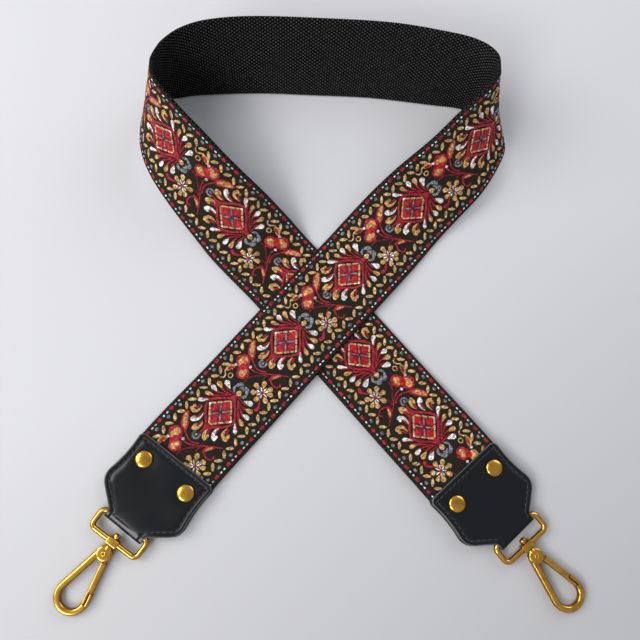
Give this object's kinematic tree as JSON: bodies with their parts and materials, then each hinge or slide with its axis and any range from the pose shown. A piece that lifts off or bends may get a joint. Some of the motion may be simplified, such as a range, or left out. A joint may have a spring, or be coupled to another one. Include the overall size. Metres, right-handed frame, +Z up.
{
  "type": "detachable bag strap",
  "caption": "Wide patterned ribbon strap on webbing backing with folded leather ends and swivel snap hooks, laid down crossed, for clipping onto a bag.",
  "frame": {"origin": "on the surface that the strap lies on, below the middle of its bounding box", "axes": "+Z up from the surface, -Y towards the hooked ends, +Y towards the loop, +X to the right seen from above"},
  "size_m": [0.2858, 0.3294, 0.0532],
  "materials": {
    "antique_brass": "polished casting with brown patina in the hollows",
    "spring_steel": "bright drawn wire",
    "black_leather": "smooth semi-gloss with painted edges and black stitching",
    "black_webbing": "coarse matte weave",
    "woven_ribbon": "raised satin threads in red, ochre, cream and grey-blue on black"
  },
  "bodies": {
    "strap": {"webbing": "black_webbing", "ribbon": "woven_ribbon", "left_tab": "black_leather", "left_rivet_cap_1": "antique_brass", "left_rivet_cap_2": "antique_brass", "left_rivet_post_1": "antique_brass", "left_rivet_post_2": "antique_brass", "right_tab": "black_leather", "right_rivet_cap_1": "antique_brass", "right_rivet_cap_2": "antique_brass", "right_rivet_post_1": "antique_brass", "right_rivet_post_2": "antique_brass"},
    "left_swivel_ring": {"left_ring": "antique_brass"},
    "left_snap_hook": {"left_hook": "antique_brass", "left_swivel_stud": "antique_brass", "left_gate_pin": "antique_brass", "left_gate_spring": "spring_steel"},
    "left_hook_gate": {"left_gate": "antique_brass"},
    "right_swivel_ring": {"right_ring": "antique_brass"},
    "right_snap_hook": {"right_hook": "antique_brass", "right_swivel_stud": "antique_brass", "right_gate_pin": "antique_brass", "right_gate_spring": "spring_steel"},
    "right_hook_gate": {"right_gate": "antique_brass"}
  },
  "joints": [
    {"name": "left_ring_swing", "type": "hinge", "parent": "strap", "child": "left_swivel_ring", "pos_m": [-0.10728, -0.11734, 0.00375], "axis": [-0.8136, 0.5814, 0], "range_deg": [-90, 90]},
    {"name": "left_hook_swivel", "type": "hinge", "parent": "left_swivel_ring", "child": "left_snap_hook", "pos_m": [-0.11783, -0.1321, 0.00315], "axis": [-0.5811, -0.8132, -0.033], "continuous": true},
    {"name": "left_gate_open", "type": "hinge", "parent": "left_snap_hook", "child": "left_hook_gate", "pos_m": [-0.11783, -0.1321, 0.00315], "axis": [0.0192, 0.0268, -0.9995], "range_deg": [0, 24], "stiffness_Nm_per_rad": 0.015, "springref_deg": -28.65, "deforming": ["left_gate_spring"]},
    {"name": "right_ring_swing", "type": "hinge", "parent": "strap", "child": "right_swivel_ring", "pos_m": [0.10461, -0.12078, 0.00375], "axis": [-0.7666, -0.6421, 0], "range_deg": [-90, 90]},
    {"name": "right_hook_swivel", "type": "hinge", "parent": "right_swivel_ring", "child": "right_snap_hook", "pos_m": [0.11626, -0.13469, 0.00315], "axis": [0.6418, -0.7662, -0.033], "continuous": true},
    {"name": "right_gate_open", "type": "hinge", "parent": "right_snap_hook", "child": "right_hook_gate", "pos_m": [0.11626, -0.13469, 0.00315], "axis": [-0.0212, 0.0253, -0.9995], "range_deg": [0, 24], "stiffness_Nm_per_rad": 0.015, "springref_deg": -28.65, "deforming": ["right_gate_spring"]}
  ]
}
